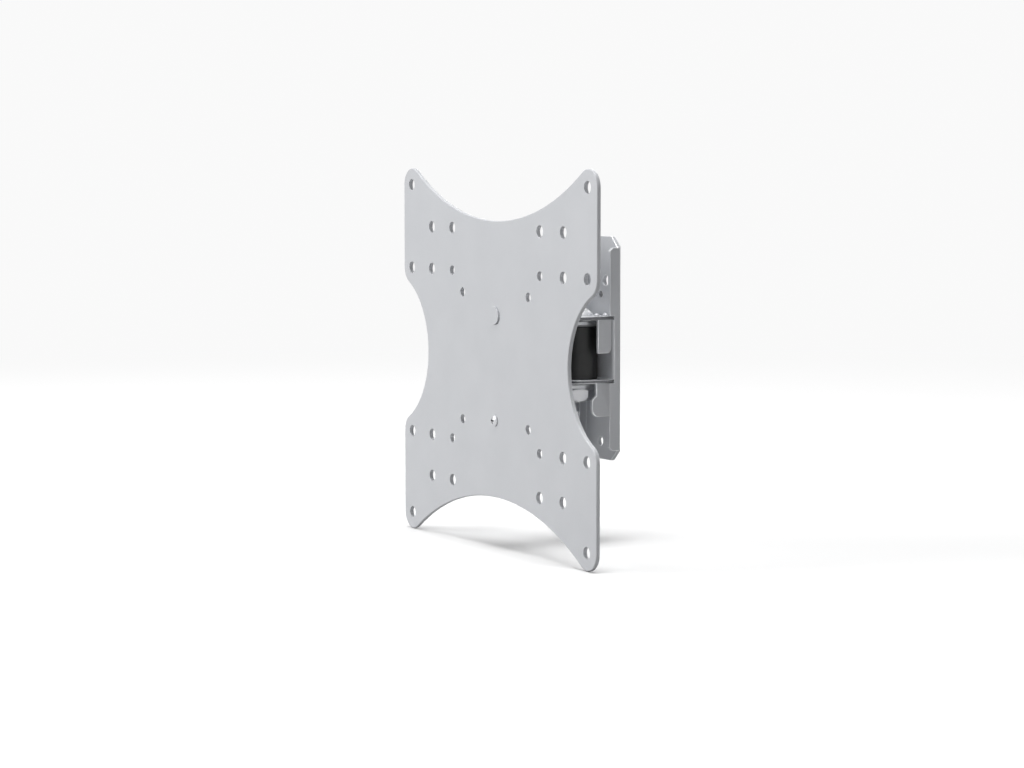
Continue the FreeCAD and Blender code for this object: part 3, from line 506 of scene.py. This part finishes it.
def paint_recess_shade(mesh, head, out):
    """Painted shade: dark steel on the walls and floor of a drive recess, picked by the head's middle and the
    way it faces.
    """
    for face in mesh.polygons:
        offset = face.center - head
        depth = -offset.dot(out)
        away = (offset + out * depth).normalized()
        slope = face.normal.dot(out)
        on_wall = abs(slope) < RECESS_WALL and face.normal.dot(away) < RECESS_INWARD
        on_floor = slope > RECESS_FLAT and depth > RECESS_DEPTH
        if on_wall or on_floor:
            face.material_index = RECESS_SHADE


def finish_screw(node, nut, axis, edge, pitch, finish):
    """Dressed bolt or screw: painted shade in its recess, and a thread where its tail comes out of the nut.
    """
    low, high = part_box(node)
    nut_low, nut_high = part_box(nut)
    nut_middle = (nut_low + nut_high) / 2
    along = Vector([float(letter == axis) for letter in "xyz"])
    if (nut_middle - (low + high) / 2).dot(along) < 0:
        along.negate()
    half_nut = abs((nut_high - nut_low).dot(along)) / 2
    face = nut_middle + along * half_nut
    tail = max((corner - face).dot(along) for corner in (low, high))
    length = abs((high - low).dot(along))
    head = face + along * (tail - length)
    shape = joined_copy(node)
    if pitch:
        root, major = cut_down_tail(shape, face, along)
        start = face - along * pitch
        add_thread(node, finish, start, along, tail + pitch, pitch, root, major)
    piece = dress_node(node, shape, finish, "sheared_steel")
    paint_recess_shade(piece.data, head, -along)
    ease_edges(piece, edge)


for node, edge in PLAIN.items():
    finish_plain(node, edge * MM, NODE_SLOT[node])
for node, edge in NUTS.items():
    finish_plain(node, edge * MM, "zinc_nut", NUT_ANGLE)
for node, (nut, axis, edge, pitch, finish) in SCREWS.items():
    finish_screw(node, nut, axis, edge * MM, pitch * MM, finish)
for node, (edge, edge_finish) in FOLDED.items():
    finish_folded(node, edge * MM, edge_finish)
finish_clevis()


# Studio

SKY_LIGHT = 0.075
SKY_SEEN = 0.95
FLOOR_LIGHT = (0.18, 0.18, 0.18)
FLOOR_SEEN = (0.86, 0.86, 0.86)
FLOOR_SIZE = 60
FLOOR_DROP = 0.2 * MM
FADE_START = 0.45
FADE_END = 1.60

MOUNT_MIDDLE = Vector((0, -0.05, 0))
KEY_PLACE = Vector((-0.95, -1.77, 0.62))
KEY_SIZE = 0.9
KEY_LEVEL = 0.635

# Direction that the light comes from, spread in degrees, and level
BROAD_LIGHTS = {
    "top_light": ((0.05, -0.05, 1.0), 30, 0.90),
    "right_fill": ((0.80, -0.60, 0.0), 12, 0.16),
    "rear_left": ((-0.55, 0.75, 0.40), 30, 0.38),
}

# Camera fitted to the screw holes; lens and sensor in millimetres
CAMERA_LENS = 92.26
CAMERA_SENSOR = 36.0
CAMERA_PLACE = Vector((1.30669, -0.83424, 0.10902))
CAMERA_AHEAD = Vector((-0.85825, 0.50628, -0.08405))
CAMERA_RIGHT = Vector((0.50808, 0.86130, 0.0))


def looked_at(tree):
    """One for a ray that the camera or a reflection sends, nought for scattered light."""
    path = add_node(tree, "ShaderNodeLightPath", {})
    seen = path.outputs["Is Camera Ray"]
    for ray in ("Is Glossy Ray", "Is Transmission Ray"):
        larger = add_node(tree, "ShaderNodeMath", {0: seen, 1: path.outputs[ray]}, operation="MAXIMUM")
        seen = larger.outputs["Value"]
    return seen


def sky_level(tree):
    """Strength of the sky: pale where it is looked at, dim for the light that it gives."""
    return add_node(tree, "ShaderNodeMapRange", {
        "Value": looked_at(tree), "To Min": SKY_LIGHT, "To Max": SKY_SEEN,
    }).outputs["Result"]


def pale_floor():
    """White where it is looked at, greyer for the light that it throws up, and lost in the sky far off."""
    finish = Finish("pale_floor", Roughness=0.9)
    finish.shader.inputs["Specular IOR Level"].default_value = 0.0
    tone = finish.ramp(looked_at(finish.tree), [(0.0, FLOOR_LIGHT), (1.0, FLOOR_SEEN)])
    finish.join(tone, "Base Color")
    haze = finish.add("ShaderNodeEmission", {"Strength": sky_level(finish.tree)})
    reach = finish.add("ShaderNodeVectorMath", {0: finish.place}, operation="LENGTH")
    fade = finish.add("ShaderNodeMapRange", {
        "Value": reach.outputs["Value"], "From Min": FADE_START, "From Max": FADE_END,
    }, interpolation_type="SMOOTHSTEP")
    blend = finish.add("ShaderNodeMixShader", {
        "Fac": fade.outputs["Result"], 1: finish.shader.outputs["BSDF"], 2: haze.outputs["Emission"],
    })
    surface = finish.tree.nodes["Material Output"].inputs["Surface"]
    finish.tree.links.new(blend.outputs["Shader"], surface)
    return finish.material


def add_floor():
    shape = bmesh.new()
    bmesh.ops.create_grid(shape, x_segments=1, y_segments=1, size=FLOOR_SIZE)
    bmesh.ops.translate(shape, verts=shape.verts, vec=(0, 0, CAD_BOX[0].z - FLOOR_DROP))
    mesh = bpy.data.meshes.new("floor")
    shape.to_mesh(mesh)
    shape.free()
    mesh.materials.append(pale_floor())
    floor = bpy.data.objects.new("floor", mesh)
    scene.collection.objects.link(floor)


def hang_light(name, lamp, place, aim):
    made = bpy.data.objects.new(name, lamp)
    made.location = place
    made.rotation_euler = aim.to_track_quat("-Z", "Y").to_euler()
    scene.collection.objects.link(made)


def add_soft_box(name, place, size, level):
    """Square soft box aimed at the mount; level 1 lights a white card facing it there to white."""
    lamp = bpy.data.lights.new(name, "AREA")
    lamp.size = size
    aim = MOUNT_MIDDLE - place
    lamp.energy = level * (math.pi * aim.length) ** 2
    hang_light(name, lamp, place, aim)


def add_broad_light(name, towards, spread, level):
    """Even light from a direction, as from a large far soft box; level 1 turns a white card white."""
    lamp = bpy.data.lights.new(name, "SUN")
    lamp.angle = math.radians(spread)
    lamp.energy = level * math.pi
    hang_light(name, lamp, MOUNT_MIDDLE, -Vector(towards))


def add_sky():
    """Grey light on the object; pale where the camera or a reflection looks past it."""
    world = bpy.data.worlds.new("pale_sky")
    scene.world = world
    world.use_nodes = True
    tree = world.node_tree
    sky = tree.nodes["Background"]
    sky.inputs["Color"].default_value = (1.0, 1.0, 1.0, 1.0)
    tree.links.new(sky_level(tree), sky.inputs["Strength"])


def add_camera():
    lens = bpy.data.cameras.new("camera")
    lens.lens = CAMERA_LENS
    lens.sensor_width = CAMERA_SENSOR
    camera = bpy.data.objects.new("camera", lens)
    right = CAMERA_RIGHT.normalized()
    ahead = CAMERA_AHEAD.normalized()
    turn = Matrix((right, right.cross(ahead), -ahead)).transposed()
    camera.matrix_world = Matrix.Translation(CAMERA_PLACE) @ turn.to_4x4()
    scene.collection.objects.link(camera)
    scene.camera = camera


add_floor()
add_soft_box("front_key", KEY_PLACE, KEY_SIZE, KEY_LEVEL)
for name, (towards, spread, level) in BROAD_LIGHTS.items():
    add_broad_light(name, towards, spread, level)
add_sky()
add_camera()
